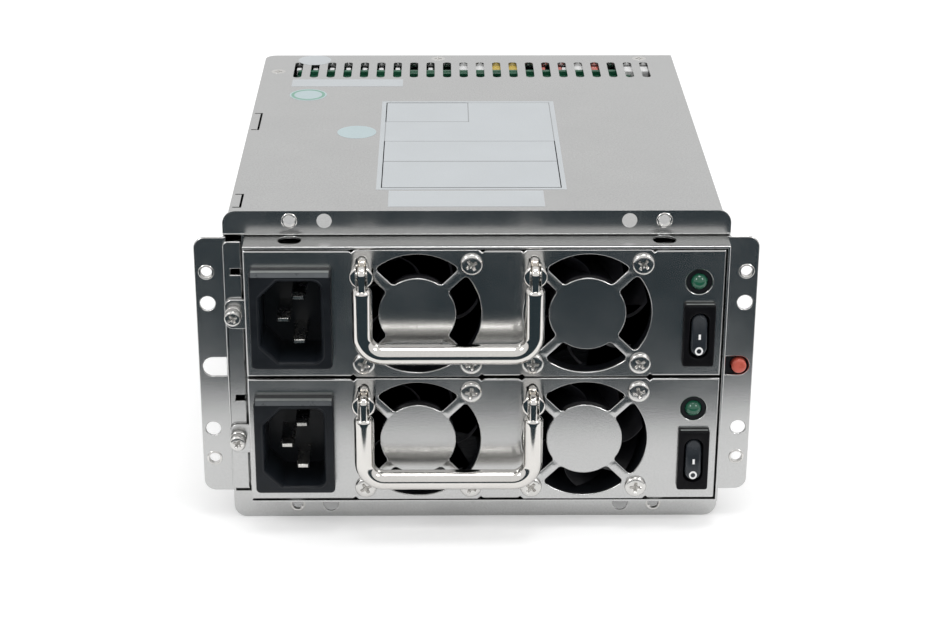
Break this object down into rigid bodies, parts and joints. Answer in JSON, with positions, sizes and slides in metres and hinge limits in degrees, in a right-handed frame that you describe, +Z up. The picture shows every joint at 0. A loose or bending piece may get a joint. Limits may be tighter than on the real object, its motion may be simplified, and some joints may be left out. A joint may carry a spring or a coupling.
{
  "type": "hot swap server power supply",
  "caption": "Steel cage with mounting flanges for stacked slide-out supplies, each with a mains inlet, guarded fans, bail handle, rocker switch and status lamp.",
  "frame": {"origin": "centre of the plain mounting holes in the ears, on the front face of the flange", "axes": "+Z up, -Y out of the front, +X to the right seen from the front"},
  "size_m": [0.1678, 0.2028, 0.1017],
  "materials": {
    "plated_steel": "satin plating with faint handling marks",
    "chrome": "bright plating",
    "bright_screw": "bright plated screw",
    "inlet_blade": "plated blade",
    "black_plastic": "moulded, fine grain",
    "black_rubber": "matt",
    "green_board": "solder mask",
    "capacitor_sleeve": "shrunk sleeve",
    "transformer_tape": "tape over a ferrite core",
    "bare_aluminium": "extruded",
    "green_lamp": "tinted, polished",
    "red_plastic": "smooth"
  },
  "bodies": {
    "cage": {"cage_tray": "plated_steel", "top_cover": "plated_steel", "bay_liner": "plated_steel", "lock_bracket": "plated_steel", "bay_divider": "plated_steel", "rear_panel": "plated_steel", "cable_grommet": "black_rubber", "backplane_board": "green_board", "backplane_sockets": "black_plastic", "backplane_capacitors": "capacitor_sleeve", "alarm_buzzer": "black_plastic", "alarm_switch_body": "black_plastic", "cover_screws": "bright_screw"},
    "alarm_button": {"alarm_button": "red_plastic"},
    "upper_supply": {"upper_front_plate": "plated_steel", "upper_casing": "plated_steel", "upper_lid": "plated_steel", "upper_inlet_housing": "black_plastic", "upper_inlet_pins": "inlet_blade", "upper_fan_left_frame": "black_plastic", "upper_fan_right_frame": "black_plastic", "upper_fan_screws": "bright_screw", "upper_handle_posts": "chrome", "upper_handle_pins": "chrome", "upper_switch_housing": "black_plastic", "upper_status_led": "green_lamp", "upper_led_holder": "black_plastic", "upper_lock_screw": "bright_screw", "upper_circuit_board": "green_board", "upper_heat_sinks": "bare_aluminium", "upper_transformer": "transformer_tape", "upper_capacitors": "capacitor_sleeve", "upper_edge_connector": "black_plastic"},
    "upper_left_rotor": {"upper_fan_left_rotor": "black_plastic"},
    "upper_right_rotor": {"upper_fan_right_rotor": "black_plastic"},
    "upper_handle_bail": {"upper_handle": "chrome"},
    "upper_rocker": {"upper_switch_rocker": "black_plastic"},
    "lower_supply": {"lower_front_plate": "plated_steel", "lower_casing": "plated_steel", "lower_lid": "plated_steel", "lower_inlet_housing": "black_plastic", "lower_inlet_pins": "inlet_blade", "lower_fan_left_frame": "black_plastic", "lower_fan_right_frame": "black_plastic", "lower_fan_screws": "bright_screw", "lower_handle_posts": "chrome", "lower_handle_pins": "chrome", "lower_switch_housing": "black_plastic", "lower_status_led": "green_lamp", "lower_led_holder": "black_plastic", "lower_lock_screw": "bright_screw", "lower_circuit_board": "green_board", "lower_heat_sinks": "bare_aluminium", "lower_transformer": "transformer_tape", "lower_capacitors": "capacitor_sleeve", "lower_edge_connector": "black_plastic"},
    "lower_left_rotor": {"lower_fan_left_rotor": "black_plastic"},
    "lower_right_rotor": {"lower_fan_right_rotor": "black_plastic"},
    "lower_handle_bail": {"lower_handle": "chrome"},
    "lower_rocker": {"lower_switch_rocker": "black_plastic"}
  },
  "joints": [
    {"name": "alarm_button_push", "type": "slide", "parent": "cage", "child": "alarm_button", "axis": [0, 1, 0], "range_m": [0, 0.001], "stiffness_N_per_m": 400},
    {"name": "upper_supply_slide", "type": "slide", "parent": "cage", "child": "upper_supply", "axis": [0, -1, 0], "range_m": [0, 0.18]},
    {"name": "upper_left_fan_spin", "type": "hinge", "parent": "upper_supply", "child": "upper_left_rotor", "pos_m": [-0.0177, 0, 0.0207], "axis": [0, 1, 0], "continuous": true},
    {"name": "upper_right_fan_spin", "type": "hinge", "parent": "upper_supply", "child": "upper_right_rotor", "pos_m": [0.0327, 0, 0.0207], "axis": [0, 1, 0], "continuous": true},
    {"name": "upper_handle_swing", "type": "hinge", "parent": "upper_supply", "child": "upper_handle_bail", "pos_m": [-0.0085, -0.0162, 0.0367], "axis": [-1, 0, 0], "range_deg": [0, 90]},
    {"name": "upper_switch_rock", "type": "hinge", "parent": "upper_supply", "child": "upper_rocker", "pos_m": [0.0659, -0.0076, 0.01421], "axis": [1, 0, 0], "range_deg": [0, 16]},
    {"name": "lower_supply_slide", "type": "slide", "parent": "cage", "child": "lower_supply", "axis": [0, -1, 0], "range_m": [0, 0.18]},
    {"name": "lower_left_fan_spin", "type": "hinge", "parent": "lower_supply", "child": "lower_left_rotor", "pos_m": [-0.0177, 0, -0.0207], "axis": [0, 1, 0], "continuous": true},
    {"name": "lower_right_fan_spin", "type": "hinge", "parent": "lower_supply", "child": "lower_right_rotor", "pos_m": [0.0327, 0, -0.0207], "axis": [0, 1, 0], "continuous": true},
    {"name": "lower_handle_swing", "type": "hinge", "parent": "lower_supply", "child": "lower_handle_bail", "pos_m": [-0.0085, -0.0162, -0.0047], "axis": [-1, 0, 0], "range_deg": [0, 90]},
    {"name": "lower_switch_rock", "type": "hinge", "parent": "lower_supply", "child": "lower_rocker", "pos_m": [0.0659, -0.0076, -0.02719], "axis": [1, 0, 0], "range_deg": [0, 16]}
  ]
}
